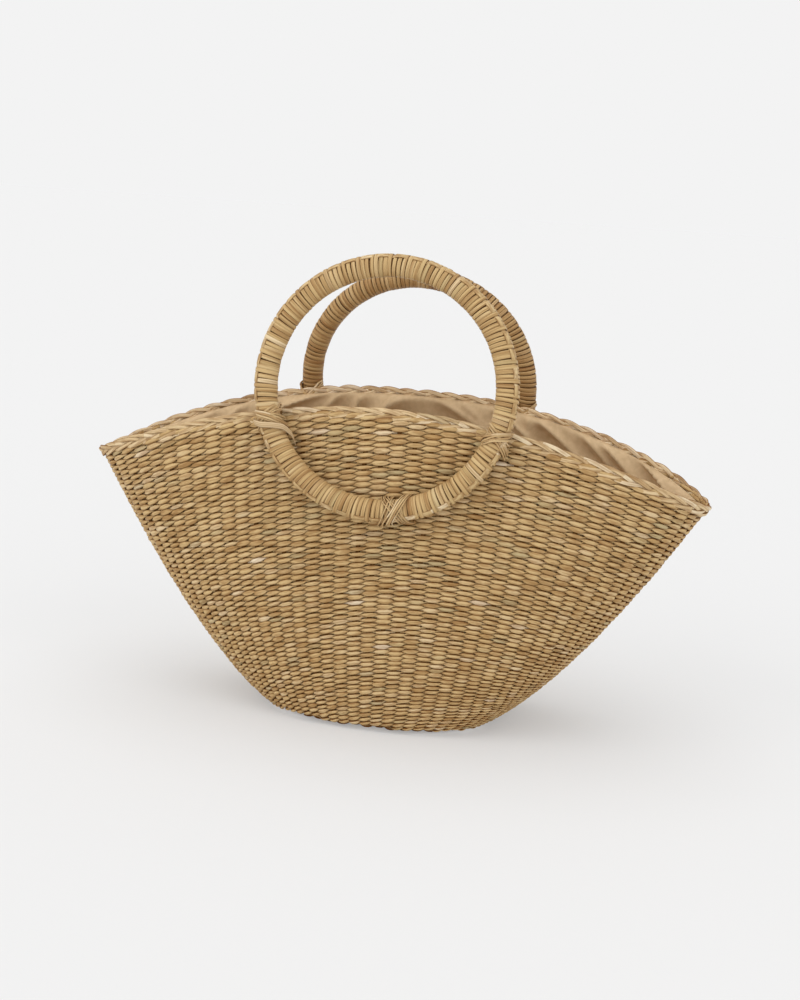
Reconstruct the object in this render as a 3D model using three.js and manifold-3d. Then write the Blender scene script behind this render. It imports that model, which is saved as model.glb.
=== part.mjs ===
// Woven tote bag with two ring handles.
// Millimetres, +Z up. The origin is the middle of the base's underside, the front faces -Y, +X is to the
// right as seen from the front. The wall flares from an oval base to two low corners. Its front and its back
// panel each carry a bound ring, and each panel leans about a line low on the wall.
import * as THREE from 'three';
import { mergeVertices } from 'three/addons/utils/BufferGeometryUtils.js';
import Module from 'manifold-3d';

const wasm = await Module();
wasm.setup();

// Driving dimensions of the woven bag
const MOUTH_WIDTH = 460;
const MOUTH_DEPTH = 126;
const BASE_LENGTH = 180;
const BASE_DEPTH = 134;
const BASE_THICKNESS = 5;
const RIM_HEIGHT = 235;
const CORNER_HEIGHT = 179;
const WALL_THICKNESS = 5;
const WALL_SWELL = 11;
const WEAVE_RELIEF = 1.8;
const RIM_BRAID_HEIGHT = 8;
const RIM_BRAID_WIDTH = 9;
const RIM_BRAID_BEVEL = 2;

// Shape of the flare from base to mouth, of the rim's fall from the middle to the corners, and of the ovals,
// which are a little squarer than an ellipse
const FLARE_POWER = 0.7;
const FLARE_START = 0.03;
const FRONT_RIM_FALL_POWER = 1.85;
const BACK_RIM_FALL_POWER = 2.25;
const OVAL_SQUARENESS = 0.04;

// Driving dimensions of the ring handles. A ring's rise is that of its centre above the middle of the rim.
// Its rail is turned from the ring's outer edge towards its face, in degrees.
const RING_DIAMETER = 169;
const RING_CORE_DIAMETER = 11;
const BINDING_THICKNESS = 1.4;
const BINDING_TURNS = 24;
const BINDING_GAP = 1.2;
const RAIL_THICKNESS = 1.4;
const RAIL_WIDTH = 5;
const RAIL_TURN = 40;
const FRONT_RING_RISE = 15;
const BACK_RING_RISE = 2;
const RING_SEAT_GAP = 0.4;

// Driving dimensions of the lashings and the lining. The front ring's foot is lashed a little to the right
// of its lowest point, by a turn along the ring in degrees.
const LASHING_DIAMETER = 3.2;
const LASHING_SLACK = 0.5;
const LASHING_SELF_GAP = 0.7;
const FOOT_LASHING_REACH = 8;
const FRONT_FOOT_LASHING_TURN = 11;
const RIM_LASHING_DROP = 4.5;
const LINING_THICKNESS = 1;
const LINING_DROP = 9;

// Where the panels lean. A panel's lower edge rises inward, in degrees, so that it can lean in until the
// rings meet and still clear the wall below it.
const PANEL_HINGE_HEIGHT = 60;
const PANEL_MARGIN = 7;
const PANEL_EDGE_RISE = 11;

// Gap kept between neighbouring pieces, and the wider one where a piece is bent along its neighbour
const CLEARANCE = 0.3;
const BENT_CLEARANCE = 0.45;

// Fineness of the curved surfaces. The wall's stations and rows are also where its weave bulges and dips.
const WALL_STATIONS = 90;
const WALL_ROWS = 12;
const WALL_INNER_ROWS = 4;
const STATION_SPREAD = 0.18;
const LINING_STATIONS = 44;
const LINING_ROWS = 4;
const BINDING_STEPS = 10;
const LASHING_STEPS = 36;
const LASHING_SIDES = 6;
const LASHING_ARC_STEPS = 6;
const LASHING_GAP_SAMPLES = 300;
const LASHING_GAP_SKIP = 3;
const CORE_STEPS = 44;
const CORE_SIDES = 8;
const RAIL_STEPS = 52;
const OVAL_STEPS = 64;
const SEAT_PASSES = 12;
const ANGLE_PASSES = 8;
const MERGE_DISTANCE = 1e-4;

// Sizes that follow from the driving dimensions
const RING_RADIUS = RING_DIAMETER / 2;
const CORE_RADIUS = RING_CORE_DIAMETER / 2;
const BINDING_SAG = (RING_RADIUS + CORE_RADIUS) * (1 - Math.cos(Math.PI / BINDING_TURNS));
const BINDING_INNER = (CORE_RADIUS + CLEARANCE + BINDING_SAG) / Math.cos(Math.PI / BINDING_STEPS);
const BINDING_OUTER = BINDING_INNER + BINDING_THICKNESS;
const RAIL_INNER = BINDING_OUTER + BENT_CLEARANCE;
const RAIL_OUTER = RAIL_INNER + RAIL_THICKNESS;
const RAIL_CORNER = Math.hypot(RAIL_OUTER, RAIL_WIDTH / 2);
const BRAID_OVERHANG = (RIM_BRAID_WIDTH - WALL_THICKNESS) / 2;
const LASHING_RADIUS = LASHING_DIAMETER / 2;
const LINING_ROOM = LASHING_DIAMETER + 2 * BENT_CLEARANCE;
const PANEL_HALF_WIDTH = RING_RADIUS + RAIL_OUTER + PANEL_MARGIN;
const FRONT = -1;
const BACK = 1;

const bag = new THREE.Group();

const material = (color, roughness) => new THREE.MeshStandardMaterial({ color, roughness, metalness: 0 });
const weave = () => material(0xb59a66, 0.75);
const braid = () => material(0xb08f58, 0.75);
const cane = () => material(0x9c7a48, 0.6);
const strip = () => material(0xb8945a, 0.55);
const cloth = () => material(0xa8977c, 0.9);

function place(parent, name, geometry, surface) {
  const mesh = new THREE.Mesh(geometry, surface);
  mesh.name = name;
  mesh.geometry.computeVertexNormals();
  parent.add(mesh);
}

// A closed body from rows of section points. Closed rows meet end to end; open rows are capped.
function joinSections(sections, closed) {
  const sides = sections[0].length;
  const count = sections.length;
  const index = [];
  for (let i = 0; i < (closed ? count : count - 1); i += 1) {
    const here = i * sides;
    const next = ((i + 1) % count) * sides;
    for (let j = 0; j < sides; j += 1) {
      const k = (j + 1) % sides;
      index.push(here + j, next + j, here + k);
      index.push(here + k, next + j, next + k);
    }
  }
  if (!closed) {
    const last = (count - 1) * sides;
    for (let j = 1; j < sides - 1; j += 1) {
      index.push(0, j, j + 1);
      index.push(last, last + j + 1, last + j);
    }
  }
  const geometry = new THREE.BufferGeometry().setFromPoints(sections.flat());
  geometry.setIndex(index);
  return geometry;
}

function toSolid(geometry) {
  const bare = geometry.clone();
  bare.deleteAttribute('normal');
  bare.deleteAttribute('uv');
  const merged = mergeVertices(bare, MERGE_DISTANCE);
  const vertProperties = new Float32Array(merged.attributes.position.array);
  const triVerts = new Uint32Array(merged.index.array);
  return new wasm.Manifold(new wasm.Mesh({ numProp: 3, vertProperties, triVerts }));
}

function toGeometry(solid) {
  const mesh = solid.getMesh();
  const geometry = new THREE.BufferGeometry();
  geometry.setAttribute('position', new THREE.BufferAttribute(mesh.vertProperties, 3));
  geometry.setIndex(new THREE.BufferAttribute(mesh.triVerts, 1));
  return geometry;
}

// Place on an oval of half length 1 and half depth 1, and the direction along it, at an angle round the bag.
// Angle 0 is the middle of the front.
function ovalPlace(angle) {
  const size = 1 - OVAL_SQUARENESS;
  return {
    x: (Math.sin(angle) + OVAL_SQUARENESS * Math.sin(3 * angle)) / size,
    y: -(Math.cos(angle) - OVAL_SQUARENESS * Math.cos(3 * angle)) / size,
    alongX: (Math.cos(angle) + 3 * OVAL_SQUARENESS * Math.cos(3 * angle)) / size,
    alongY: (Math.sin(angle) - 3 * OVAL_SQUARENESS * Math.sin(3 * angle)) / size,
  };
}

// Height of the rim's top over a place on that oval. The front falls away sooner than the back.
function rimHeight(place) {
  const power = place.y < 0 ? FRONT_RIM_FALL_POWER : BACK_RIM_FALL_POWER;
  return RIM_HEIGHT - (RIM_HEIGHT - CORNER_HEIGHT) * Math.abs(place.x) ** power;
}

function flare(share) {
  const start = FLARE_START ** FLARE_POWER;
  const end = (1 + FLARE_START) ** FLARE_POWER;
  return ((share + FLARE_START) ** FLARE_POWER - start) / (end - start);
}

// Half length and half depth of the wall's outside at a height, under a rim of a given height.
function wallOval(height, rim) {
  const share = (height - BASE_THICKNESS) / (rim - BASE_THICKNESS);
  const halfLength = BASE_LENGTH / 2 + (MOUTH_WIDTH - BASE_LENGTH) / 2 * flare(share);
  const straight = BASE_DEPTH / 2 + (MOUTH_DEPTH - BASE_DEPTH) / 2 * share;
  const halfDepth = straight + 4 * WALL_SWELL * share * (1 - share);
  return { halfLength, halfDepth };
}

// Point of an oval, set in from it by a distance.
function ovalPoint(angle, halfLength, halfDepth, inset) {
  const place = ovalPlace(angle);
  const along = new THREE.Vector2(halfLength * place.alongX, halfDepth * place.alongY).normalize();
  return new THREE.Vector2(halfLength * place.x - inset * along.y, halfDepth * place.y + inset * along.x);
}

// Point of the wall at a height, set in from its outside by a level distance.
function wallPoint(angle, height, inset) {
  const { halfLength, halfDepth } = wallOval(height, rimHeight(ovalPlace(angle)));
  const point = ovalPoint(angle, halfLength, halfDepth, inset);
  return new THREE.Vector3(point.x, point.y, height);
}

// Angle round the bag of one of a number of stations, which keep about the same distance apart.
function stationAngle(station, stations) {
  const turn = 2 * Math.PI * station / stations;
  return turn - STATION_SPREAD * Math.sin(2 * turn);
}

// The heights of a skin's rows at an angle, from a level bottom to a fixed drop under the rim.
function rowHeights(angle, bottom, drop, rows) {
  const top = rimHeight(ovalPlace(angle)) - drop;
  return Array.from({ length: rows + 1 }, (_, row) => bottom + (top - bottom) * row / rows);
}

// The woven wall. Between its plain lower and upper edge the outside dips at every other station, and in the
// next row at the stations between, as the weft does where it passes behind a stake.
function wovenWall(bottom, drop) {
  const sections = [];
  for (let station = 0; station < WALL_STATIONS; station += 1) {
    const angle = stationAngle(station, WALL_STATIONS);
    const outer = rowHeights(angle, bottom, drop, WALL_ROWS).map((height, row) => {
      const edge = row === 0 || row === WALL_ROWS;
      const dips = !edge && (station + row) % 2 === 0;
      return wallPoint(angle, height, dips ? WEAVE_RELIEF : 0);
    });
    const inner = rowHeights(angle, bottom, drop, WALL_INNER_ROWS)
      .map((height) => wallPoint(angle, height, WALL_THICKNESS))
      .reverse();
    sections.push([...outer, ...inner]);
  }
  return toSolid(joinSections(sections, true));
}

// The lining's skin, which hangs inside the wall.
function liningSkin(inset, bottom, drop) {
  const sections = [];
  for (let station = 0; station < LINING_STATIONS; station += 1) {
    const angle = stationAngle(station, LINING_STATIONS);
    const heights = rowHeights(angle, bottom, drop, LINING_ROWS);
    const outer = heights.map((height) => wallPoint(angle, height, inset));
    const inner = heights.map((height) => wallPoint(angle, height, inset + LINING_THICKNESS)).reverse();
    sections.push([...outer, ...inner]);
  }
  return toSolid(joinSections(sections, true));
}

// The flat braid on top of the wall, bevelled along its two upper edges.
function rimBraid() {
  const sections = [];
  for (let station = 0; station < WALL_STATIONS; station += 1) {
    const angle = stationAngle(station, WALL_STATIONS);
    const top = rimHeight(ovalPlace(angle));
    const corner = (inset, down) => {
      const point = wallPoint(angle, top, inset);
      point.z = top - down;
      return point;
    };
    const outside = -BRAID_OVERHANG;
    const inside = outside + RIM_BRAID_WIDTH;
    sections.push([
      corner(outside, RIM_BRAID_HEIGHT),
      corner(outside, RIM_BRAID_BEVEL),
      corner(outside + RIM_BRAID_BEVEL, 0),
      corner(inside - RIM_BRAID_BEVEL, 0),
      corner(inside, RIM_BRAID_BEVEL),
      corner(inside, RIM_BRAID_HEIGHT),
    ]);
  }
  return toSolid(joinSections(sections, true));
}

// A prism through the front or back wall above the line where the panel leans. Its floor rises inward.
function panelPrism(side, halfWidth, floorHeight, floorAngle) {
  const hinge = wallOval(PANEL_HINGE_HEIGHT, RIM_HEIGHT).halfDepth;
  const far = BASE_DEPTH + MOUTH_DEPTH;
  const top = 2 * RIM_HEIGHT;
  const rise = hinge * Math.tan(THREE.MathUtils.degToRad(floorAngle));
  const outline = new THREE.Shape([
    new THREE.Vector2(side * far, floorHeight),
    new THREE.Vector2(side * hinge, floorHeight),
    new THREE.Vector2(0, floorHeight + rise),
    new THREE.Vector2(0, top),
    new THREE.Vector2(side * far, top),
  ]);
  const prism = new THREE.ExtrudeGeometry(outline, { depth: 2 * halfWidth, bevelEnabled: false });
  const across = new THREE.Vector3(1, 0, 0);
  const depth = new THREE.Vector3(0, 1, 0);
  const up = new THREE.Vector3(0, 0, 1);
  prism.applyMatrix4(new THREE.Matrix4().makeBasis(depth, up, across));
  prism.translate(-halfWidth, 0, 0);
  return toSolid(prism);
}

// What the panel takes out of a skin, and what it leaves behind, with a gap all round.
const panelInside = (side) => panelPrism(side, PANEL_HALF_WIDTH, PANEL_HINGE_HEIGHT, PANEL_EDGE_RISE);
const panelOutside = (side) => {
  const halfWidth = PANEL_HALF_WIDTH + CLEARANCE;
  return panelPrism(side, halfWidth, PANEL_HINGE_HEIGHT - CLEARANCE, 0);
};

// Share of the mouth's half depth at a share of its half length.
function mouthDepth(across) {
  let angle = 0;
  for (let pass = 0; pass < ANGLE_PASSES; pass += 1) {
    angle = Math.asin(across * (1 - OVAL_SQUARENESS) - OVAL_SQUARENESS * Math.sin(3 * angle));
  }
  return -ovalPlace(angle).y;
}

// Where a ring sits: it touches the wall at its foot and the braid where it crosses the rim.
function ringSeat(side, centreHeight) {
  const touch = BINDING_OUTER + RING_SEAT_GAP;
  const braidMiddle = RIM_BRAID_HEIGHT / 2;
  let lean = 0;
  let out = 0;
  let cross = 0;
  for (let pass = 0; pass < SEAT_PASSES; pass += 1) {
    const footHeight = centreHeight - RING_RADIUS * Math.cos(lean);
    const footOut = wallOval(footHeight, RIM_HEIGHT).halfDepth + touch / Math.cos(lean);
    const across = 2 * RING_RADIUS * Math.sin(cross) / MOUTH_WIDTH;
    const crossHeight = rimHeight({ x: across, y: side }) - braidMiddle;
    const rimOut = MOUTH_DEPTH / 2 * mouthDepth(across) + BRAID_OVERHANG + touch / Math.cos(lean);
    lean = Math.atan2(footOut - rimOut, crossHeight - footHeight);
    out = footOut - RING_RADIUS * Math.sin(lean);
    cross = Math.acos((centreHeight - crossHeight) / (RING_RADIUS * Math.cos(lean)));
  }
  return { side, centreHeight, lean, out, cross };
}

// A ring lies in its group's XY plane with +Z facing away from the bag and its foot towards -Y.
function ringGroup(seat) {
  const group = new THREE.Group();
  const up = new THREE.Vector3(0, -seat.side * Math.sin(seat.lean), Math.cos(seat.lean));
  const outward = new THREE.Vector3(0, seat.side * Math.cos(seat.lean), Math.sin(seat.lean));
  const across = new THREE.Vector3().crossVectors(up, outward);
  group.setRotationFromMatrix(new THREE.Matrix4().makeBasis(across, up, outward));
  group.position.set(0, seat.side * seat.out, seat.centreHeight);
  group.updateMatrix();
  return group;
}

// The cane hoop.
function ringCore() {
  const geometry = new THREE.TorusGeometry(RING_RADIUS, CORE_RADIUS, CORE_SIDES, CORE_STEPS);
  return toGeometry(toSolid(geometry));
}

// Point on a tube round the ring, at an angle round the ring, an angle round the tube and a tube radius.
function tubePoint(along, round, radius) {
  const reach = RING_RADIUS + radius * Math.cos(round);
  return new THREE.Vector3(reach * Math.sin(along), -reach * Math.cos(along), radius * Math.sin(round));
}

// The strip wound round the hoop, from the foot all the way back to the foot.
function ringBinding(name) {
  const pitch = 2 * Math.PI / BINDING_TURNS;
  const halfGap = BINDING_GAP / RING_RADIUS / 2;
  const halfWidth = pitch / 2 - halfGap;
  const steps = (BINDING_TURNS - 1) * BINDING_STEPS;
  const sections = [];
  for (let i = 0; i <= steps; i += 1) {
    const turn = i / BINDING_STEPS;
    const along = pitch / 2 + turn * pitch;
    const round = turn * 2 * Math.PI;
    sections.push([
      tubePoint(along + halfWidth, round, BINDING_INNER),
      tubePoint(along + halfWidth, round, BINDING_OUTER),
      tubePoint(along - halfWidth, round, BINDING_OUTER),
      tubePoint(along - halfWidth, round, BINDING_INNER),
    ]);
  }
  let least = Infinity;
  for (let i = BINDING_STEPS; i < sections.length; i += 1) {
    for (const before of sections[i - BINDING_STEPS].slice(0, 2)) {
      for (const after of sections[i].slice(2)) {
        least = Math.min(least, before.distanceTo(after));
      }
    }
  }
  console.log(`${name} least gap to itself ${least.toFixed(2)} mm`);
  return joinSections(sections, false);
}

// The flat strip along the ring, over the binding and between the ring's outer edge and its face.
function ringRail() {
  const turn = THREE.MathUtils.degToRad(RAIL_TURN);
  const middle = new THREE.Vector2(RING_RADIUS, 0);
  const corner = (radius, across) => {
    return new THREE.Vector2(RING_RADIUS + radius, across).rotateAround(middle, turn);
  };
  const profile = [
    corner(RAIL_INNER, -RAIL_WIDTH / 2),
    corner(RAIL_OUTER, -RAIL_WIDTH / 2),
    corner(RAIL_OUTER, RAIL_WIDTH / 2),
    corner(RAIL_INNER, RAIL_WIDTH / 2),
    corner(RAIL_INNER, -RAIL_WIDTH / 2),
  ];
  const geometry = new THREE.LatheGeometry(profile, RAIL_STEPS).rotateX(Math.PI / 2);
  return toGeometry(toSolid(geometry));
}

// The route of a lashing: over the ring from one corner of an X to the opposite one, back behind the weave,
// out again beside the ring and over the first strand to the last corner. Its runs towards the bag climb
// along the ring by a slope, which keeps them level where the ring leans.
function lashingRoute(along, low, high, depth, turned, slope) {
  const reach = RAIL_CORNER + LASHING_SLACK + LASHING_RADIUS;
  const lift = LASHING_DIAMETER + LASHING_SELF_GAP;
  const upward = along < 0 ? -1 : 1;
  const radial = new THREE.Vector3(Math.sin(along), -Math.cos(along), 0);
  const tangent = new THREE.Vector3(Math.cos(along), Math.sin(along), 0).multiplyScalar(upward);
  const at = (out, rise, forward) => {
    const point = radial.clone().multiplyScalar(RING_RADIUS + out);
    point.addScaledVector(tangent, rise + slope * Math.max(0, -forward));
    point.z = forward;
    return point;
  };
  const strand = (start, extra) => {
    const points = [];
    for (let i = 0; i <= LASHING_ARC_STEPS; i += 1) {
      const share = i / LASHING_ARC_STEPS;
      const sweep = Math.PI * share;
      const forward = (reach + extra * Math.sin(sweep)) * Math.sin(sweep);
      points.push(at(start * reach * Math.cos(sweep), (low + high) * share - low, forward));
    }
    return points;
  };
  return new THREE.CatmullRomCurve3([
    at(turned * reach, -low, -depth),
    at(turned * reach, -low, -depth / 2),
    ...strand(turned, 0),
    at(-turned * reach, high, -depth / 2),
    at(-turned * reach, high - LASHING_RADIUS, -depth),
    at(-turned * reach, (high - low) / 2, -depth),
    at(-turned * reach, LASHING_RADIUS - low, -depth),
    at(-turned * reach, -low, -depth / 2),
    ...strand(-turned, lift),
    at(turned * reach, high, -depth / 2),
    at(turned * reach, high, -depth),
  ], false, 'centripetal');
}

function lashingTube(route, radius) {
  const corners = [];
  for (let i = 0; i < LASHING_SIDES; i += 1) {
    const angle = 2 * Math.PI * i / LASHING_SIDES;
    corners.push(new THREE.Vector2(radius * Math.cos(angle), radius * Math.sin(angle)));
  }
  const options = { steps: LASHING_STEPS, extrudePath: route, bevelEnabled: false };
  return new THREE.ExtrudeGeometry(new THREE.Shape(corners), options);
}

function printLashingGap(name, route) {
  const points = route.getSpacedPoints(LASHING_GAP_SAMPLES);
  const apart = Math.ceil(LASHING_GAP_SKIP * LASHING_DIAMETER / route.getLength() * LASHING_GAP_SAMPLES);
  let least = Infinity;
  for (let i = 0; i < points.length; i += 1) {
    for (let j = i + apart; j < points.length; j += 1) {
      least = Math.min(least, points[i].distanceTo(points[j]) - LASHING_DIAMETER);
    }
  }
  console.log(`${name} least gap to itself ${least.toFixed(2)} mm`);
}

// One ring with its lashings. Returns the solid that clears the lashings' way through the weave.
function addRing(sideName, seat) {
  const group = ringGroup(seat);
  bag.add(group);
  place(group, `${sideName}_ring_core`, ringCore(), cane());
  place(group, `${sideName}_ring_binding`, ringBinding(`${sideName}_ring_binding`), strip());
  place(group, `${sideName}_ring_rail`, ringRail(), strip());

  const touch = BINDING_OUTER + RING_SEAT_GAP;
  const behind = CLEARANCE + LASHING_RADIUS;
  const rimLow = RIM_BRAID_HEIGHT / 2 + RIM_LASHING_DROP;
  const rimHigh = RIM_BRAID_HEIGHT / 2 + LASHING_SLACK + LASHING_RADIUS;
  const rimDepth = touch + RIM_BRAID_WIDTH + 2 * behind;
  const rimSpan = [rimLow, rimHigh, rimDepth, 1];
  const level = Math.tan(seat.lean);
  const footDepth = touch + WALL_THICKNESS + behind;
  const reach = FOOT_LASHING_REACH;
  const footTurn = seat.side === FRONT ? THREE.MathUtils.degToRad(FRONT_FOOT_LASHING_TURN) : 0;
  const firstSide = seat.side === FRONT ? 'right' : 'left';
  const otherSide = seat.side === FRONT ? 'left' : 'right';
  const routes = {
    [`${sideName}_${firstSide}_lashing`]: lashingRoute(seat.cross, ...rimSpan, level),
    [`${sideName}_${otherSide}_lashing`]: lashingRoute(-seat.cross, ...rimSpan, level),
    [`${sideName}_foot_lashing`]: lashingRoute(footTurn, reach, reach, footDepth, -1, 0),
  };
  let way = null;
  for (const [name, route] of Object.entries(routes)) {
    printLashingGap(name, route);
    place(group, name, toGeometry(toSolid(lashingTube(route, LASHING_RADIUS))), strip());
    const clear = lashingTube(route, LASHING_RADIUS + BENT_CLEARANCE).applyMatrix4(group.matrix);
    way = way ? way.add(toSolid(clear)) : toSolid(clear);
  }
  return way;
}

// An oval sheet lying flat, set in from the base's edge.
function baseSheet(inset, bottom, thickness) {
  const outline = [];
  for (let station = 0; station < OVAL_STEPS; station += 1) {
    const angle = stationAngle(station, OVAL_STEPS);
    outline.push(ovalPoint(angle, BASE_LENGTH / 2, BASE_DEPTH / 2, inset));
  }
  const options = { depth: thickness, bevelEnabled: false };
  const geometry = new THREE.ExtrudeGeometry(new THREE.Shape(outline), options).translate(0, 0, bottom);
  return toGeometry(toSolid(geometry));
}

// The base mat, with the lining's floor on it
place(bag, 'woven_base', baseSheet(0, 0, BASE_THICKNESS), weave());
const floorInset = WALL_THICKNESS + CLEARANCE;
const floorBottom = BASE_THICKNESS + CLEARANCE;
place(bag, 'floor_lining', baseSheet(floorInset, floorBottom, LINING_THICKNESS), cloth());

// The rings, and the ways that their lashings take through the weave
const frontWay = addRing('front', ringSeat(FRONT, RIM_HEIGHT + FRONT_RING_RISE));
const backWay = addRing('back', ringSeat(BACK, RIM_HEIGHT + BACK_RING_RISE));

// The wall stands on the mat's edge and ends under the braid
const wallDrop = RIM_BRAID_HEIGHT + CLEARANCE;
const wall = wovenWall(floorBottom, wallDrop);
const rim = rimBraid();
const liningBottom = floorBottom + LINING_THICKNESS + CLEARANCE;
const lining = liningSkin(WALL_THICKNESS + LINING_ROOM, liningBottom, RIM_BRAID_HEIGHT + LINING_DROP);

for (const [name, side, way] of [['front', FRONT, frontWay], ['back', BACK, backWay]]) {
  const inside = panelInside(side);
  place(bag, `${name}_woven_panel`, toGeometry(wall.intersect(inside).subtract(way)), weave());
  place(bag, `${name}_rim_braid`, toGeometry(rim.intersect(inside).subtract(way)), braid());
  place(bag, `${name}_lining`, toGeometry(lining.intersect(inside)), cloth());
}

const windows = panelOutside(FRONT).add(panelOutside(BACK));
place(bag, 'woven_body', toGeometry(wall.subtract(windows)), weave());
place(bag, 'corner_lining', toGeometry(lining.subtract(windows)), cloth());
const [left, right] = rim.subtract(windows).decompose()
  .sort((one, other) => one.boundingBox().min[0] - other.boundingBox().min[0]);
place(bag, 'left_corner_braid', toGeometry(left), braid());
place(bag, 'right_corner_braid', toGeometry(right), braid());

export default bag;
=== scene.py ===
import math

import bmesh
import bpy
import numpy as np
from mathutils import Matrix, Vector


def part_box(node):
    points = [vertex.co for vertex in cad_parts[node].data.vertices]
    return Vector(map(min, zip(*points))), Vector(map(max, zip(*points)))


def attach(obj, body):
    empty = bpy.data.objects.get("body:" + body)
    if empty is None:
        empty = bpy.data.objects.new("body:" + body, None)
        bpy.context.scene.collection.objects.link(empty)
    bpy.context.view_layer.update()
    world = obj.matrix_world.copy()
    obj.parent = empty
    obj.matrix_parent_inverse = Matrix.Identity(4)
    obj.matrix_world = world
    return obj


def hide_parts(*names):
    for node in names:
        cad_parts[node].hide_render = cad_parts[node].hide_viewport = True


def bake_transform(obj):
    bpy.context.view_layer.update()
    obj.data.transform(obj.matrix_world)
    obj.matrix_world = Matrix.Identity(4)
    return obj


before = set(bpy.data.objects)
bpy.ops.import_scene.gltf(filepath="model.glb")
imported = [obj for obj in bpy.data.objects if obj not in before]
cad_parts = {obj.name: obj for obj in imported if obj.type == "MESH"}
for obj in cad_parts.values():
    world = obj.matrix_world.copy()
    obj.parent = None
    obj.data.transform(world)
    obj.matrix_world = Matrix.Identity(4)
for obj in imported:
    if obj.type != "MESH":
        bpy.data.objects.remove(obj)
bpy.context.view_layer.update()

# The weft of the wall: strands of dried grass laid round the bag, each over one stake and under the next.
# The rounds climb a little to the right and are pressed down, so that only short grains of each strand
# show. Front and back are separate halves that meet at the two low corners.
MM = 0.001
BASE_HALF_LENGTH, BASE_HALF_DEPTH, BASE_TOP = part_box("woven_base")[1]
RIM_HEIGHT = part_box("front_rim_braid")[1][2]
WALL_HEIGHT = RIM_HEIGHT - BASE_TOP
BRAID_HEIGHT = 8 * MM
WALL_SHARE = 1 - BRAID_HEIGHT / WALL_HEIGHT
CORNER_HEIGHT = 179 * MM
MOUTH_HALF_WIDTH = 230 * MM
MOUTH_HALF_DEPTH = 63 * MM
WALL_THICKNESS = 5 * MM
WALL_SWELL = 11 * MM
FLARE_POWER = 0.7
FLARE_START = 0.03
FRONT_RIM_FALL_POWER = 1.85
BACK_RIM_FALL_POWER = 2.25
OVAL_SQUARENESS = 0.04
ROUND_EASE = 0.1
ROUND_SINK = 0.4
ROUND_CLIMB = 0.11
HEEL_RADIUS = 8 * MM
HEEL_DEPTH = 3.5 * MM
RIM_TUCK = 5.5 * MM
RIM_FADE = 1.5 * MM
RIM_FLATTENING = 0.65
SHARE_STEP = 0.01

STAKES = 84
STAKE_SPREAD_LOW = 0.30
STAKE_SPREAD_FALL = 0.36
ARC_STEPS = 1440
ROUNDS = 114
CLIMB_ROUNDS = 16
HEEL_ROUNDS = 32
STEPS_PER_STAKE = 6
STEP_CROWDING = 0.05
STRAND_SIDES = 6
STRAND_WELD = 0.01
WEFT_WAVE = 1.5 * MM
WEFT_HALF_HEIGHT = 1.95 * MM
WEFT_PINCH = 0.38
WEFT_DIVE = 1.2
WEFT_SLANT = 0.18 * MM
SLANT_TURN = 4
WEFT_HALF_THICKNESS = 1.05 * MM
DIVE_THICKNESS = 0.8
GRAIN_END = 0.64
GRAIN_TAPER = 0.36
GRAIN_WOBBLE = 1.8
GRAIN_BULGE = 0.12
GRAIN_LIFT = 0.2 * MM
GRAIN_SWELL = 0.10
ROUND_SHIFTS = 100
SEED = 11
rng = np.random.default_rng(SEED)


def flare(share):
    """How far the wall has flared out, from 0 at the base to 1 at the mouth."""
    start = FLARE_START ** FLARE_POWER
    end = (1 + FLARE_START) ** FLARE_POWER
    return ((np.maximum(share, 0) + FLARE_START) ** FLARE_POWER - start) / (end - start)


def rim_height(across, deep):
    """Height of the rim's top at a share of the way from the middle to a corner. The front, where deep is
    below 0, falls away sooner than the back."""
    power = np.where(np.asarray(deep) < 0, FRONT_RIM_FALL_POWER, BACK_RIM_FALL_POWER)
    return RIM_HEIGHT - (RIM_HEIGHT - CORNER_HEIGHT) * np.abs(across) ** power


def oval_place(angle):
    """Place on an oval of half length 1 and half depth 1, a little squarer than an ellipse, and the
    direction along it. Angle 0 is the middle of the front."""
    square = OVAL_SQUARENESS
    place = np.sin(angle) + square * np.sin(3 * angle), square * np.cos(3 * angle) - np.cos(angle)
    along = np.cos(angle) + 3 * square * np.cos(3 * angle), np.sin(angle) - 3 * square * np.sin(3 * angle)
    return np.array(place) / (1 - square), np.array(along) / (1 - square)


def wall_oval(share):
    """Half length and half depth of the wall's outside at a share of its height."""
    half_length = BASE_HALF_LENGTH + (MOUTH_HALF_WIDTH - BASE_HALF_LENGTH) * flare(share)
    straight = BASE_HALF_DEPTH + (MOUTH_HALF_DEPTH - BASE_HALF_DEPTH) * share
    return half_length, straight + 4 * WALL_SWELL * share * (1 - share)


def wall_point(angle, share, inset):
    """Points on the wall at a share of its height, set in from its outside."""
    half_length, half_depth = wall_oval(share)
    (x, y), (along_x, along_y) = oval_place(angle)
    size = np.hypot(half_length * along_x, half_depth * along_y)
    return np.stack([
        half_length * x - inset * half_depth * along_y / size,
        half_depth * y + inset * half_length * along_x / size,
        BASE_TOP + share * (rim_height(x, y) - BASE_TOP),
    ], axis=-1)


def round_share(level, angle):
    """Share of the wall's height at which a round lies. Rounds lie closer together at the base, sink towards
    the corners because they are laid square to the fanned stakes, and climb a little to the right."""
    across = oval_place(angle)[0][0]
    eased = level - ROUND_EASE * level * (1 - level)
    return eased * (1 - ROUND_SINK * across ** 2 * (1 - np.clip(level, 0, 1)) ** 2) + ROUND_CLIMB * across


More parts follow.
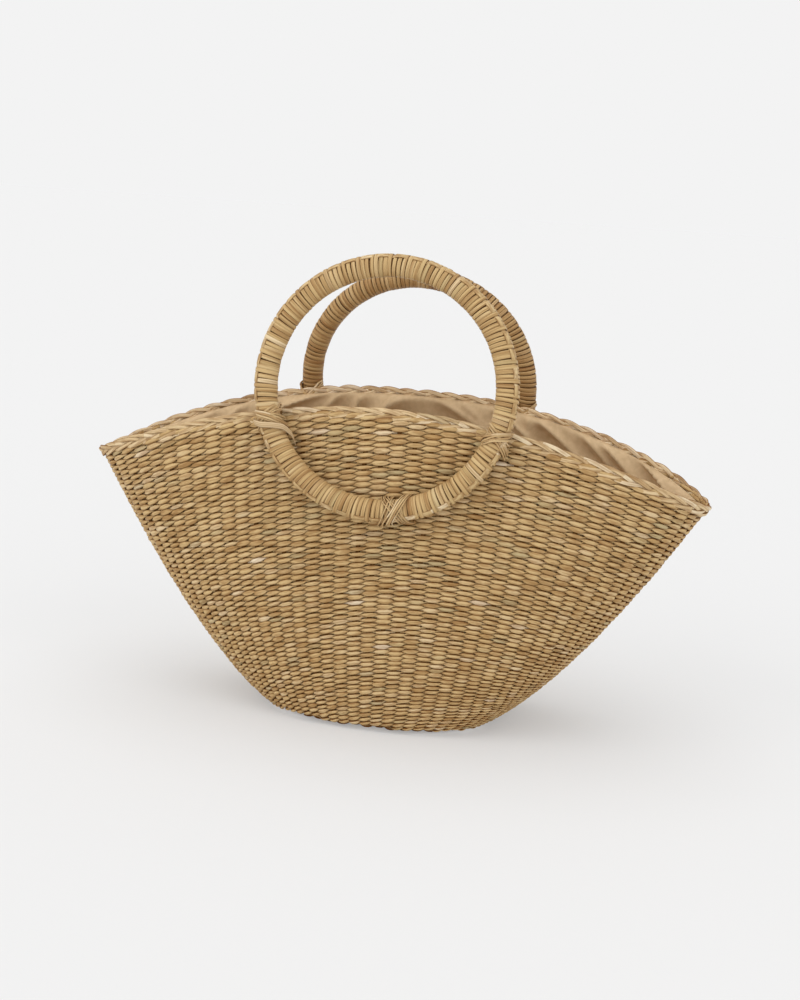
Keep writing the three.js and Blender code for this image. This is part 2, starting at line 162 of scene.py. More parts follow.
def stake_angle(stake, level):
    """Angle round the bag of a stake's place in a round; stakes keep apart by arc length."""
    level = min(max(level, 0), 1)
    half_length, half_depth = wall_oval(level)
    fine = np.linspace(0, 2 * np.pi, ARC_STEPS + 1)
    x, y = oval_place(fine)[0]
    arc = np.concatenate([[0], np.cumsum(np.hypot(half_length * np.diff(x), half_depth * np.diff(y)))])
    arc /= arc[-1]
    spread = STAKE_SPREAD_LOW - STAKE_SPREAD_FALL * level
    turn = np.asarray(stake) / STAKES
    eased = turn + spread * np.sin(4 * np.pi * turn) / (4 * np.pi)
    whole = np.floor(eased)
    return np.interp(eased - whole, arc, fine) + 2 * np.pi * whole


def unit(vectors):
    return vectors / np.linalg.norm(vectors, axis=-1, keepdims=True)


def along_path(points):
    return unit(np.gradient(points, axis=0))


def straight_strand(steps, sides):
    """A straight capped strand along +X, one ring of the section at each whole X."""
    strand = bmesh.new()
    bmesh.ops.create_grid(strand, x_segments=steps, y_segments=sides, size=0.5)
    for vertex in strand.verts:
        turn = 2 * math.pi * vertex.co.y
        vertex.co = (round((vertex.co.x + 0.5) * steps), -math.sin(turn), -math.cos(turn))
    bmesh.ops.remove_doubles(strand, verts=strand.verts[:], dist=STRAND_WELD)
    bmesh.ops.holes_fill(strand, edges=[edge for edge in strand.edges if edge.is_boundary], sides=0)
    bmesh.ops.recalc_face_normals(strand, faces=strand.faces[:])
    mesh = bpy.data.meshes.new("straight_strand")
    strand.to_mesh(mesh)
    strand.free()
    return mesh


def lay_strands(name, strands, sides, material):
    """One piece from many strands. Each strand bends a straight one along its path, and keeps its place
    along, its turn round and its own number on every point as the attribute "strand"."""
    patterns = {}
    piece = bmesh.new()
    for strand in strands:
        steps = len(strand["path"]) - 1
        if steps not in patterns:
            patterns[steps] = straight_strand(steps, sides)
        piece.from_mesh(patterns[steps])
    mesh = bpy.data.meshes.new(name)
    piece.to_mesh(mesh)
    piece.free()
    places = np.empty(len(mesh.vertices) * 3)
    mesh.vertices.foreach_get("co", places)
    places = places.reshape(-1, 3)
    marks = np.empty_like(places)
    first = 0
    for strand in strands:
        path, out = strand["path"], strand["out"]
        last = first + len(patterns[len(path) - 1].vertices)
        at = np.rint(places[first:last, 0]).astype(int)
        across, lift = places[first:last, 1], places[first:last, 2]
        tangent = along_path(path)
        side = unit(np.cross(out, tangent))
        out = np.cross(tangent, side)
        lobes = strand.get("lobes", 0)
        turn = np.arctan2(lift, across)
        flat = strand.get("flat", 1)
        across, lift = (np.sign(part) * np.abs(part) ** flat for part in (across, lift))
        plump = 1 - strand.get("groove", 0) * (0.5 + 0.5 * np.cos(lobes * turn)) if lobes else 1
        reach = (strand["width"] * np.ones(len(path)))[at] * across * plump
        rise = (strand["thickness"] * np.ones(len(path)))[at] * lift * plump
        places[first:last] = path[at] + side[at] * reach[:, None] + out[at] * rise[:, None]
        marks[first:last, 0] = (strand["along"] * np.ones(len(path)))[at]
        marks[first:last, 1] = turn / (2 * np.pi)
        marks[first:last, 2] = strand["number"]
        first = last
    mesh.vertices.foreach_set("co", places.ravel())
    mesh.attributes.new("strand", "FLOAT_VECTOR", "POINT").data.foreach_set("vector", marks.ravel())
    mesh.polygons.foreach_set("use_smooth", np.ones(len(mesh.polygons), bool))
    mesh.materials.append(material)
    mesh.update()
    obj = bpy.data.objects.new(name, mesh)
    bpy.context.scene.collection.objects.link(obj)
    for pattern in patterns.values():
        bpy.data.meshes.remove(pattern)
    return obj


def new_material(name):
    """A material with its own Principled shader, and short calls to add and join nodes."""
    material = bpy.data.materials.new(name)
    material.use_nodes = True
    nodes = material.node_tree.nodes
    return material, nodes, material.node_tree.links.new, nodes["Principled BSDF"]


PALE_FADE = 0.06
PALE_STRENGTH = 0.85
LINE_STRENGTH = 0.5
LINE_TINT = (0.40, 0.22, 0.08, 1)
# Colour multiplied in as painted shade along each strand's edges.
EDGE_SHADE_TINT = (0.36, 0.19, 0.05, 1)
FIBRE_RELIEF = 0.3 * MM
STRAW_SPECULAR = 0.12


def straw_tones():
    """Node group shared by every grass and cane finish: tone, streak and bump of dried fibre that follow
    the strand attribute, with a share of pale, greenish and brown stretches, and painted shade along each
    strand's edges."""
    group = bpy.data.node_groups.new("straw tones", "ShaderNodeTree")
    face = group.interface
    for way, kind, labels in (
        ("INPUT", "NodeSocketColor", ("Base", "Dark", "Pale", "Green")),
        ("INPUT", "NodeSocketFloat", ("Along", "Pale share", "Edge shade", "Fibres")),
        ("OUTPUT", "NodeSocketColor", ("Color",)),
        ("OUTPUT", "NodeSocketFloat", ("Fibre",)),
    ):
        for label in labels:
            face.new_socket(label, in_out=way, socket_type=kind)
    nodes, link = group.nodes, group.links.new
    given = nodes.new("NodeGroupInput")
    result = nodes.new("NodeGroupOutput")
    place = nodes.new("ShaderNodeAttribute")
    place.attribute_name = "strand"
    parts = nodes.new("ShaderNodeSeparateXYZ")
    link(place.outputs["Vector"], parts.inputs[0])
    strand_along, strand_turn, strand_number = parts.outputs

    def math_node(kind, *values):
        node = nodes.new("ShaderNodeMath")
        node.operation = kind
        for socket, value in zip(node.inputs, values):
            if isinstance(value, (int, float)):
                socket.default_value = value
            else:
                link(value, socket)
        return node.outputs[0]

    grain = math_node("ROUND", math_node("MULTIPLY", strand_along, 0.5))

    def noise(along, scale_along, scale_round, scale_number, detail):
        spot = nodes.new("ShaderNodeCombineXYZ")
        link(math_node("MULTIPLY", math_node("MULTIPLY", along, given.outputs["Along"]), scale_along),
             spot.inputs[0])
        link(math_node("MULTIPLY", strand_turn, scale_round), spot.inputs[1])
        link(math_node("MULTIPLY", strand_number, scale_number), spot.inputs[2])
        node = nodes.new("ShaderNodeTexNoise")
        node.inputs["Scale"].default_value = 1
        node.inputs["Detail"].default_value = detail
        link(spot.outputs[0], node.inputs["Vector"])
        return node.outputs["Fac"]

    def span(value, low, high):
        node = nodes.new("ShaderNodeMapRange")
        node.interpolation_type = "SMOOTHSTEP"
        node.inputs["From Min"].default_value = low
        node.inputs["From Max"].default_value = high
        link(value, node.inputs["Value"])
        return node.outputs["Result"]

    def mix(amount, one, other):
        node = nodes.new("ShaderNodeMix")
        node.data_type = "RGBA"
        link(amount, node.inputs["Factor"])
        link(one, node.inputs["A"])
        link(other, node.inputs["B"])
        return node.outputs["Result"]

    long_tone = noise(strand_along, scale_along=0.25, scale_round=0, scale_number=7.31, detail=2)
    grain_tone = noise(grain, scale_along=1.37, scale_round=0, scale_number=3.17, detail=1)
    green_tone = noise(grain, scale_along=0.77, scale_round=0, scale_number=11.7, detail=1)
    pale_tone = noise(grain, scale_along=1.63, scale_round=0, scale_number=5.23, detail=1)
    fibres = given.outputs["Fibres"]
    fibre = noise(strand_along, scale_along=1.2, scale_round=fibres, scale_number=2.3, detail=3)
    tone = math_node("ADD", math_node("MULTIPLY", long_tone, 0.5), math_node("MULTIPLY", grain_tone, 0.5))
    colour = given.outputs["Base"]
    for label, source, low, high, strength in (
        ("Dark", tone, 0.54, 0.32, 0.7),
        ("Green", green_tone, 0.6, 0.72, 0.7),
        ("Pale", tone, 0.5, 0.74, 0.5),
    ):
        amount = math_node("MULTIPLY", span(source, low, high), strength)
        colour = mix(amount, colour, given.outputs[label])
    white = nodes.new("ShaderNodeMapRange")
    link(pale_tone, white.inputs["Value"])
    link(given.outputs["Pale share"], white.inputs["From Min"])
    link(math_node("ADD", given.outputs["Pale share"], PALE_FADE), white.inputs["From Max"])
    amount = math_node("MULTIPLY", white.outputs["Result"], PALE_STRENGTH)
    colour = mix(amount, colour, given.outputs["Pale"])
    # Painted shade: each strand is darkened towards its two edges, where it meets and dives under its
    # neighbours.
    turn = math_node("MULTIPLY", strand_turn, 2 * math.pi)
    sideways = math_node("ABSOLUTE", math_node("COSINE", turn))
    edge = math_node("MULTIPLY", span(sideways, low=0.62, high=0.95), given.outputs["Edge shade"])
    line = math_node("MULTIPLY", span(fibre, low=0.6, high=0.36), LINE_STRENGTH)
    for amount, tint in ((line, LINE_TINT), (edge, EDGE_SHADE_TINT)):
        stain = nodes.new("ShaderNodeMix")
        stain.data_type = "RGBA"
        stain.blend_type = "MULTIPLY"
        link(amount, stain.inputs["Factor"])
        link(colour, stain.inputs["A"])
        stain.inputs["B"].default_value = tint
        colour = stain.outputs["Result"]
    link(colour, result.inputs["Color"])
    link(fibre, result.inputs["Fibre"])
    return group


STRAW = straw_tones()


def straw_finish(name, base, dark, pale, green, along, pale_share, roughness, bump, edge=0, fibres=12):
    """A straw-coloured finish with fibre streaks in colour and relief, and painted shade at strand edges."""
    material, nodes, link, shader = new_material(name)
    tones = nodes.new("ShaderNodeGroup")
    tones.node_tree = STRAW
    for label, value in (("Base", base), ("Dark", dark), ("Pale", pale), ("Green", green)):
        tones.inputs[label].default_value = (*value, 1)
    for label, value in (("Along", along), ("Pale share", pale_share), ("Edge shade", edge), ("Fibres", fibres)):
        tones.inputs[label].default_value = value
    relief = nodes.new("ShaderNodeBump")
    relief.inputs["Strength"].default_value = bump
    relief.inputs["Distance"].default_value = FIBRE_RELIEF
    link(tones.outputs["Color"], shader.inputs["Base Color"])
    link(tones.outputs["Fibre"], relief.inputs["Height"])
    link(relief.outputs["Normal"], shader.inputs["Normal"])
    shader.inputs["Roughness"].default_value = roughness
    shader.inputs["Specular IOR Level"].default_value = STRAW_SPECULAR
    return material


weft_finish = straw_finish(
    "rolled grass", base=(0.64, 0.455, 0.22), dark=(0.38, 0.205, 0.065), pale=(0.82, 0.70, 0.52),
    green=(0.45, 0.375, 0.21), along=1, pale_share=0.69, roughness=0.58, bump=0.8, edge=1, fibres=7,
)

grain_wobble = np.clip(rng.normal(0, 1, (ROUNDS, STAKES)), -GRAIN_WOBBLE, GRAIN_WOBBLE)
round_shift = 2 * rng.integers(0, ROUND_SHIFTS, ROUNDS)


def over_and_under(along, number):
    """How far a strand is out over a stake, 1, or in behind it, -1, and how plump it is there: full over the
    stake, then straight down to a pinched tip half way to the next."""
    wave = np.tanh(WEFT_DIVE * np.cos(np.pi * (along + number))) / math.tanh(WEFT_DIVE)
    from_stake = np.abs(along - np.rint(along))
    return wave, np.clip((GRAIN_END - from_stake) / GRAIN_TAPER, WEFT_PINCH, 1)


def stake_steps(first, last):
    """Places along a strand, closer together where it dives between two stakes."""
    steps = np.linspace(first, last, int(round((last - first) * STEPS_PER_STAKE)) + 1)
    return steps + STEP_CROWDING * np.sin(2 * np.pi * steps)


def wall_frame(angle, share):
    """Rising and outward directions on the wall. The outward one is shorter where a round and a stake cross
    aslant."""
    rise = unit(wall_point(angle, share + SHARE_STEP, 0) - wall_point(angle, share - SHARE_STEP, 0))
    level = along_path(wall_point(angle, share, 0))
    return rise, np.cross(level, rise)


def heel_curve(height):
    """How far round the heel a height of the wall lies once the lowest rounds curl under the bag."""
    return np.clip((HEEL_RADIUS - height) / (HEEL_RADIUS - WALL_THICKNESS / 4), 0, math.pi / 2)


def tucked(stake, number, step):
    """The stake, or the next one on by a step, behind which a round's end is out of sight."""
    return stake + step * ((stake + number + 1) % 2)


def round_level(number):
    """How high up a round lies in the middle of the wall, from 0 at the base to 1 at the rim."""
    return (number + 0.5) / ROUNDS * WALL_SHARE


def round_ends(number, first, last):
    """The stakes between which a round lies. One that climbs past the rim or runs under the heel ends
    there."""
    level = round_level(number)
    stakes = np.arange(tucked(first, number, 1), tucked(last, number, 1) + 1)
    share = round_share(level, stake_angle(stakes, level))
    kept = stakes[(share > -HEEL_DEPTH / WALL_HEIGHT) & (share < WALL_SHARE + RIM_TUCK / WALL_HEIGHT)]
    return (tucked(kept[0], number, 1), tucked(kept[-1], number, -1)) if len(kept) else (0, 0)


def weft_strand(number, first_stake, last_stake):
    """One round of the weft between two stakes. Below the wall it curls under at the heel, and above it lies
    flatter inside the rim's border."""
    level = round_level(number)
    along = stake_steps(first_stake, last_stake)
    angle = stake_angle(along, level)
    share = round_share(level, angle)
    on_wall = np.maximum(share, 0)
    wave, swell = over_and_under(along, number)
    grain = grain_wobble[number % ROUNDS, np.rint(along).astype(int) % STAKES]
    rise, out = wall_frame(angle, np.maximum(share, SHARE_STEP))
    height = wall_point(angle, on_wall, 0)[:, 2] + np.minimum(share, 0) * WALL_HEIGHT
    curl = heel_curve(height)[:, None]
    down = np.array([0, 0, -1.0])
    centre = wall_point(angle, on_wall, HEEL_RADIUS)
    centre[:, 2] = np.maximum(height, HEEL_RADIUS)
    flat_out = unit(wall_point(angle, on_wall, 0) - wall_point(angle, on_wall, WALL_THICKNESS))
    spoke = flat_out * np.cos(curl) + down * np.sin(curl)
    middle = centre + spoke * (HEEL_RADIUS - WALL_THICKNESS / 2)
    below = wall_point(angle, round_share(level - SHARE_STEP, angle), 0)
    above = wall_point(angle, round_share(level + SHARE_STEP, angle), 0)
    room = np.linalg.norm(above - below, axis=-1) / (2 * SHARE_STEP * WALL_HEIGHT)
    room *= np.linalg.norm(out, axis=-1)
    in_rim = np.clip((share - WALL_SHARE) * WALL_HEIGHT / RIM_FADE, 0, 1)
    bulge = WEFT_WAVE * wave * (1 + GRAIN_BULGE * grain) * (1 - RIM_FLATTENING * in_rim)
    slant = -WEFT_SLANT * oval_place(angle)[0][0] * np.clip(SLANT_TURN * np.cos(angle), -1, 1)
    lift = GRAIN_LIFT * grain + slant * np.sin(np.pi * (along + number))
    return {
        "path": middle + spoke * bulge[:, None] + rise * (lift * (share > 0))[:, None],
        "out": unit(unit(out) * np.cos(curl) + down * np.sin(curl)),
        "width": WEFT_HALF_HEIGHT * swell * room * (1 + GRAIN_SWELL * grain),
        "thickness": WEFT_HALF_THICKNESS * (DIVE_THICKNESS + (1 - DIVE_THICKNESS) * np.abs(wave)),
        "along": along + number + round_shift[number % ROUNDS],
        "number": number,
    }


HALVES = {
    "front": {"stakes": (-STAKES // 4, STAKES // 4), "body": "front_side", "facing": -1},
    "back": {"stakes": (STAKES // 4, 3 * STAKES // 4), "body": "back_side", "facing": 1},
}
SPANS = {
    "lower": range(-HEEL_ROUNDS, ROUNDS // 2),
    "upper": range(ROUNDS // 2, ROUNDS + CLIMB_ROUNDS),
}


def bend_with(piece):
    """Bakes the piece's placement into its mesh."""
    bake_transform(piece)


for side, half in HALVES.items():
    for part, rounds in SPANS.items():
        ends = [(number, *round_ends(number, *half["stakes"])) for number in rounds]
        strands = [weft_strand(number, first, last) for number, first, last in ends if last - first > 1]
        weft = lay_strands(f"{side}_{part}_weft", strands, STRAND_SIDES, weft_finish)
        bend_with(weft)
        if part == "upper":
            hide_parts(f"{side}_woven_panel")
        elif side == "front":
            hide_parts("woven_body")

# The stakes: upright rods of the same grass, twisted harder, that the weft is woven round. They fan out
# from the base to the rim and show only as dark lines between the grains of the weft. Their near-black
# brown is painted shade for those gaps.
STAKE_STEPS = 60
STAKE_TONES = 20
STAKE_HALF_WIDTH = 1.9 * MM
STAKE_HALF_THICKNESS = 0.5 * MM
# Painted shade: the stakes are coloured far darker than the grass, so the gaps between grains read as shaded.
stake_shade_finish = straw_finish(
    "stake grass in painted shade", base=(0.15, 0.07, 0.016), dark=(0.10, 0.045, 0.010), pale=(0.19, 0.10, 0.03),
    green=(0.13, 0.07, 0.02), along=1, pale_share=0.75, roughness=0.7, bump=0.5,
)


def stake_strand(stake):
    """One stake, from the base to the underside of the rim's border."""
    level = np.linspace(-HEEL_ROUNDS / ROUNDS, 1 + ROUND_CLIMB, STAKE_STEPS + 1)
    angle = np.array([float(stake_angle(stake, part)) for part in level])
    share = round_share(level, angle)
    on_wall = (share > 0) & (share < WALL_SHARE)
    level, angle, share = level[on_wall], angle[on_wall], share[on_wall]
    return {
        "path": wall_point(angle, share, WALL_THICKNESS / 2),
        "out": unit(wall_point(angle, share, 0) - wall_point(angle, share, WALL_THICKNESS)),
        "width": STAKE_HALF_WIDTH,
        "thickness": STAKE_HALF_THICKNESS,
        "along": level * STAKE_TONES,
        "number": stake,
    }


for side, half in HALVES.items():
    first, last = half["stakes"]
    stakes = lay_strands(
        f"{side}_stakes", [stake_strand(stake) for stake in range(first, last)], STRAND_SIDES, stake_shade_finish)
    bend_with(stakes)

# The base: a flat oval mat of the same weave, on which the bag stands. Its strands run along the bag and
# end under the lowest rounds of the wall.
MAT_PITCH = 2.2 * MM
MAT_STAKE_PITCH = 9 * MM
MAT_HALF_HEIGHT = 1.9 * MM
MAT_ROUNDING = 0.4
MAT_NUMBER = 300
mat_half_length = BASE_HALF_LENGTH - HEEL_RADIUS
mat_half_depth = BASE_HALF_DEPTH - HEEL_RADIUS
mat_rows = int(mat_half_depth / MAT_PITCH)
mat_strands = []
for row in range(-mat_rows, mat_rows + 1):
    depth = row * MAT_PITCH
    reach = mat_half_length * (1 - (depth / mat_half_depth) ** 2) ** MAT_ROUNDING / MAT_STAKE_PITCH
    along = stake_steps(-reach, reach)
    wave, swell = over_and_under(along, row)
    path = np.stack([along * MAT_STAKE_PITCH, depth + 0 * along, BASE_TOP / 2 - WEFT_WAVE * wave], axis=-1)
    mat_strands.append({
        "path": path,
        "out": np.tile([0.0, 0.0, -1.0], (len(along), 1)),
        "width": MAT_HALF_HEIGHT * swell,
        "thickness": WEFT_HALF_THICKNESS,
        "along": along,
        "number": row + MAT_NUMBER,
    })
base_mat = lay_strands("base_mat", mat_strands, STRAND_SIDES, weft_finish)
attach(base_mat, "basket")
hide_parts("woven_base")

# The rim: a border plaited from bundles of grass blades along the top of the wall, flat at the front and
# rounder at the back. Each bundle crosses from edge to edge over a core of bent stake ends.
BUNDLES = {"front": 5, "back": 3}
PLAIT_PERIOD = {"front": 74 * MM, "back": 46 * MM}
PLAIT_HALF_HEIGHT = 3.1 * MM
PLAIT_LIFT = 1.25 * MM
BUNDLE_HALF_WIDTH = {"front": 1.65 * MM, "back": 2.15 * MM}
BUNDLE_HALF_THICKNESS = 1.2 * MM
BUNDLE_SIDES = 18
PLAIT_CORE_HALF_WIDTH = 2.6 * MM
PLAIT_CORE_HALF_THICKNESS = 0.7 * MM
PLAIT_STEP = 2 * MM
PLAIT_SCALE = {"front": 1.0, "back": 0.85}
PLAIT_TAPER = 16 * MM
PLAIT_TIP = 0.8
EDGE_STEPS = 2000
BUNDLE_LOBES = 4
BUNDLE_GROOVE = 0.22
LOOSE_KNOTS = 2
LOOSE_TURN = 0.012
LOOSE_HEIGHT = 0.25 * MM
LOOSE_WIDTH = 0.12
CORE_NUMBER = {"front": 490, "back": 530}
BUNDLE_NUMBER = {"front": 500, "back": 540}
BUNDLE_NUMBER_STEP = 7
plait_finishes = {
    "front": straw_finish(
        "plaited grass", base=(0.71, 0.535, 0.305), dark=(0.36, 0.20, 0.07), pale=(0.84, 0.70, 0.48),
        green=(0.54, 0.44, 0.26), along=1, pale_share=0.58, roughness=0.55, bump=0.8, edge=0.95,
        fibres=7,
    ),
    # The back plait's finish is a paler copy of the front's: painted light, standing in for the top light on
    # the back rim's inner face.
    "back": straw_finish(
        "plaited grass in painted light", base=(0.87, 0.70, 0.45), dark=(0.34, 0.18, 0.06), pale=(0.93, 0.80, 0.60),
        green=(0.70, 0.57, 0.36), along=1, pale_share=0.54, roughness=0.55, bump=0.8, edge=0.95,
        fibres=7,
    ),
}
for side, half in HALVES.items():
    fine = stake_angle(np.linspace(*half["stakes"], EDGE_STEPS), WALL_SHARE)
    edge = wall_point(fine, 1.0, WALL_THICKNESS / 2)
    run = np.concatenate([[0], np.cumsum(np.linalg.norm(np.diff(edge, axis=0), axis=1))])
    length = run[-1]
    count = int(length / PLAIT_STEP) + 1
    angle = np.interp(np.linspace(0, length, count), run, fine)
    turns = np.linspace(0, round(length / PLAIT_PERIOD[side]), count)
    to_corner = np.minimum(np.linspace(0, length, count), np.linspace(length, 0, count))
    slim = PLAIT_SCALE[side] * (PLAIT_TIP + (1 - PLAIT_TIP) * np.clip(to_corner / PLAIT_TAPER, 0, 1))
    rise, out = wall_frame(angle, 1.0)
    out = unit(out)
    middle = wall_point(angle, 1.0, WALL_THICKNESS / 2)
    middle[:, 2] -= BRAID_HEIGHT / 2
    strands = [{
        "path": middle,
        "out": out,
        "width": slim * PLAIT_CORE_HALF_WIDTH,
        "thickness": slim * PLAIT_CORE_HALF_THICKNESS,
        "along": turns * BUNDLES[side],
        "number": CORE_NUMBER[side],
    }]
    for bundle in range(BUNDLES[side]):
        knots = rng.normal(0, 1, (3, round(turns[-1] * LOOSE_KNOTS) + 1))
        spots = np.arange(knots.shape[1])
        turning, climbing, widening = (np.interp(turns * LOOSE_KNOTS, spots, row) for row in knots)
        phase = 2 * np.pi * (turns + bundle / BUNDLES[side] + LOOSE_TURN * turning)
        up = slim * (PLAIT_HALF_HEIGHT + LOOSE_HEIGHT * climbing) * np.sin(phase)
        lift = -slim * PLAIT_LIFT * np.sin(2 * phase)
        strands.append({
            "path": middle + rise * up[:, None] + out * lift[:, None],
            "out": out,
            "width": slim * BUNDLE_HALF_WIDTH[side] * (1 + LOOSE_WIDTH * widening),
            "thickness": slim * BUNDLE_HALF_THICKNESS,
            "along": turns * BUNDLES[side],
            "number": BUNDLE_NUMBER[side] + BUNDLE_NUMBER_STEP * bundle,
            "lobes": BUNDLE_LOBES,
            "groove": BUNDLE_GROOVE,
        })
    plait = lay_strands(f"{side}_rim_plait", strands, BUNDLE_SIDES, plait_finishes[side])
    bend_with(plait)
    corner = "left" if side == "front" else "right"
    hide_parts(f"{side}_rim_braid", f"{corner}_corner_braid")

# The ring handles: a bent cane hoop for each side, closely bound with split cane from end to end. The
# bound ring leans inward with the wall and touches it at the foot and at the rim.
CORE_RADIUS = 5.5 * MM
HOOP_RADIUS = 6.9 * MM
HOOP_STEPS = 144
HOOP_SIDES = 12
HOOP_TONES = 8
HOOP_NUMBER = 3
STRIP_SIDES = 8
WRAP_RADIUS = 7.6 * MM
WRAPS = 166
WRAP_STEPS = 14
WRAP_DRIFT = 0.07
WRAP_DRIFT_LIMIT = 0.16
WRAP_PUFF = 0.1 * MM
WRAP_BREADTH = 0.08
WRAP_NUMBER = 20
WRAP_HALF_WIDTH = 1.56 * MM
WRAP_FLATNESS = 0.55
WRAP_HALF_THICKNESS = 0.6 * MM
RAIL_BITES = 47
RAIL_BITE_STEEPNESS = 3
RAIL_SHOWN = 0.4
RAIL_REACH = 0.1
RAIL_STEPS = 4
RAIL_NUMBER = 40
RAIL_HALF_WIDTH = 2.1 * MM
RAIL_HALF_THICKNESS = 0.55 * MM
RAIL_LIFT = 0.45 * MM
RAIL_TURN = math.radians(40)
hoop_finish = straw_finish(
    "bare cane", base=(0.22, 0.13, 0.055), dark=(0.12, 0.06, 0.025), pale=(0.32, 0.21, 0.10),
    green=(0.2, 0.14, 0.07), along=1, pale_share=0.8, roughness=0.7, bump=0.3,
)
wrap_finishes = {
    "front": straw_finish(
        "split cane", base=(0.62, 0.435, 0.205), dark=(0.35, 0.18, 0.06), pale=(0.80, 0.64, 0.40),
        green=(0.55, 0.415, 0.205), along=0.6, pale_share=0.66, roughness=0.42, bump=0.9, edge=0.85,
        fibres=7,
    ),
    # The back ring's binding is darker and browner than the front's: partly its own browner cane, partly
    # painted shade.
    "back": straw_finish(
        "browned split cane in painted shade", base=(0.51, 0.33, 0.145), dark=(0.31, 0.145, 0.045), pale=(0.72, 0.55, 0.33),
        green=(0.46, 0.33, 0.155), along=0.6, pale_share=0.7, roughness=0.42, bump=0.9, edge=0.9,
        fibres=7,
    ),
}
rail_finish = straw_finish(
    "flat cane", base=(0.64, 0.465, 0.235), dark=(0.46, 0.28, 0.115), pale=(0.82, 0.68, 0.45),
    green=(0.58, 0.45, 0.235), along=1, pale_share=0.58, roughness=0.42, bump=0.9, edge=0.6,
    fibres=7,
)


def ring_frame(side, facing):
    """Centre, radius and directions of a ring, read from the box of its core."""
    low, high = (np.array(corner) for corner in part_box(f"{side}_ring_core"))
    radius = (high[0] - low[0]) / 2 - CORE_RADIUS
    lean = math.asin(((high[1] - low[1]) / 2 - CORE_RADIUS) / radius)
    up = np.array([0, -facing * math.sin(lean), math.cos(lean)])
    outward = np.array([0, facing * math.cos(lean), math.sin(lean)])
    return {"centre": (low + high) / 2, "radius": radius, "up": up, "outward": outward,
            "across": np.cross(up, outward)}


def ring_directions(ring, along):
    """Radial direction and direction along the ring, at an angle from its foot."""
    along = np.asarray(along)[..., None]
    radial = np.sin(along) * ring["across"] - np.cos(along) * ring["up"]
    forward = np.cos(along) * ring["across"] + np.sin(along) * ring["up"]
    return radial, forward


def tube_point(ring, along, turn, radius):
    """Point and outward direction on a tube round the ring."""
    radial = ring_directions(ring, along)[0]
    turn = np.asarray(turn)[..., None]
    out = np.cos(turn) * radial + np.sin(turn) * ring["outward"]
    return ring["centre"] + ring["radius"] * radial + np.asarray(radius)[..., None] * out, out


def rail_phase(along):
    """1 where the rail shows over the binding, -1 where the binding hides it."""
    return np.clip(RAIL_BITE_STEEPNESS * (np.sin(along * RAIL_BITES) + RAIL_SHOWN), -1, 1)


for side, half in HALVES.items():
    ring = ring_frame(side, half["facing"])
    half["ring"] = ring
    around = np.linspace(0, 2 * np.pi, HOOP_STEPS + 1)
    hoop_path, hoop_out = tube_point(ring, around, 0 * around, 0)
    hoop = lay_strands(f"{side}_hoop", [{
        "path": hoop_path, "out": hoop_out, "width": HOOP_RADIUS, "thickness": HOOP_RADIUS,
        "along": around * HOOP_TONES, "number": HOOP_NUMBER,
    }], HOOP_SIDES, hoop_finish)
    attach(hoop, half["body"])
    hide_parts(f"{side}_ring_core")

    turns = np.linspace(0, WRAPS, WRAPS * WRAP_STEPS + 1)
    whole = np.arange(WRAPS + 1)
    drift = np.clip(rng.normal(0, WRAP_DRIFT, WRAPS + 1), -WRAP_DRIFT_LIMIT, WRAP_DRIFT_LIMIT)
    drift = np.interp(turns, whole, drift)
    puff = np.interp(turns, whole, rng.normal(0, WRAP_PUFF, WRAPS + 1))
    broad = np.interp(turns, whole, rng.normal(1, WRAP_BREADTH, WRAPS + 1))
    along = 2 * np.pi * (turns + drift) / WRAPS
    turn = 2 * np.pi * turns
    at_rail = np.exp(-((1 - np.cos(turn - RAIL_TURN)) / RAIL_REACH) ** 2)
    radius = WRAP_RADIUS + puff + at_rail * np.clip(-rail_phase(along), 0, 1) * RAIL_LIFT
    path, out = tube_point(ring, along, turn, radius)
    binding = lay_strands(f"{side}_binding", [{
        "path": path, "out": out, "width": WRAP_HALF_WIDTH * broad, "thickness": WRAP_HALF_THICKNESS,
        "along": turns * 2, "number": WRAP_NUMBER + half["facing"], "flat": WRAP_FLATNESS,
    }], STRIP_SIDES, wrap_finishes[side])
    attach(binding, half["body"])
    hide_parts(f"{side}_ring_binding")

    rail_along = np.linspace(0, 2 * np.pi, RAIL_STEPS * WRAPS + 1)
    rail_radius = WRAP_RADIUS + RAIL_LIFT * rail_phase(rail_along)
    path, out = tube_point(ring, rail_along, RAIL_TURN + 0 * rail_along, rail_radius)
    rail = lay_strands(f"{side}_rail", [{
        "path": path, "out": out, "width": RAIL_HALF_WIDTH, "thickness": RAIL_HALF_THICKNESS,
        "along": rail_along * RAIL_BITES / np.pi, "number": RAIL_NUMBER + half["facing"],
        "flat": WRAP_FLATNESS,
    }], STRIP_SIDES, rail_finish)
    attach(rail, half["body"])
    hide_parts(f"{side}_ring_rail")

# The lashings: thin blades of split cane that tie each ring to the wall, crossed in bundles over the ring
# at the rim on both sides and at the ring's foot, and passed through the weave behind it.
BLADE_HALF_THICKNESS = 0.45 * MM
BLADE_JITTER = 0.4
BLADE_JITTER_SHARES = (1, 1, 0.5)
BLADE_WIDTH_RANGE = (0.8, 1.2)
BLADE_FACING = 3 * MM
LASH_STEPS = 14
CROSSING_RANGE = (0.8, 2.2)
CROSSING_STEPS = 400
TIE_NUMBER = 60
TIE_NUMBER_STEP = 10
LOOSE_NUMBER = 95


def rim_crossing(ring, facing):
    """Angle from the ring's foot to where it passes the middle of the rim's border."""
    along = np.linspace(*CROSSING_RANGE, CROSSING_STEPS)
    radial = ring_directions(ring, along)[0]
    point = ring["centre"] + ring["radius"] * radial
    border = rim_height(point[:, 0] / MOUTH_HALF_WIDTH, facing) - BRAID_HEIGHT / 2
    return along[np.argmin(np.abs(point[:, 2] - border))]


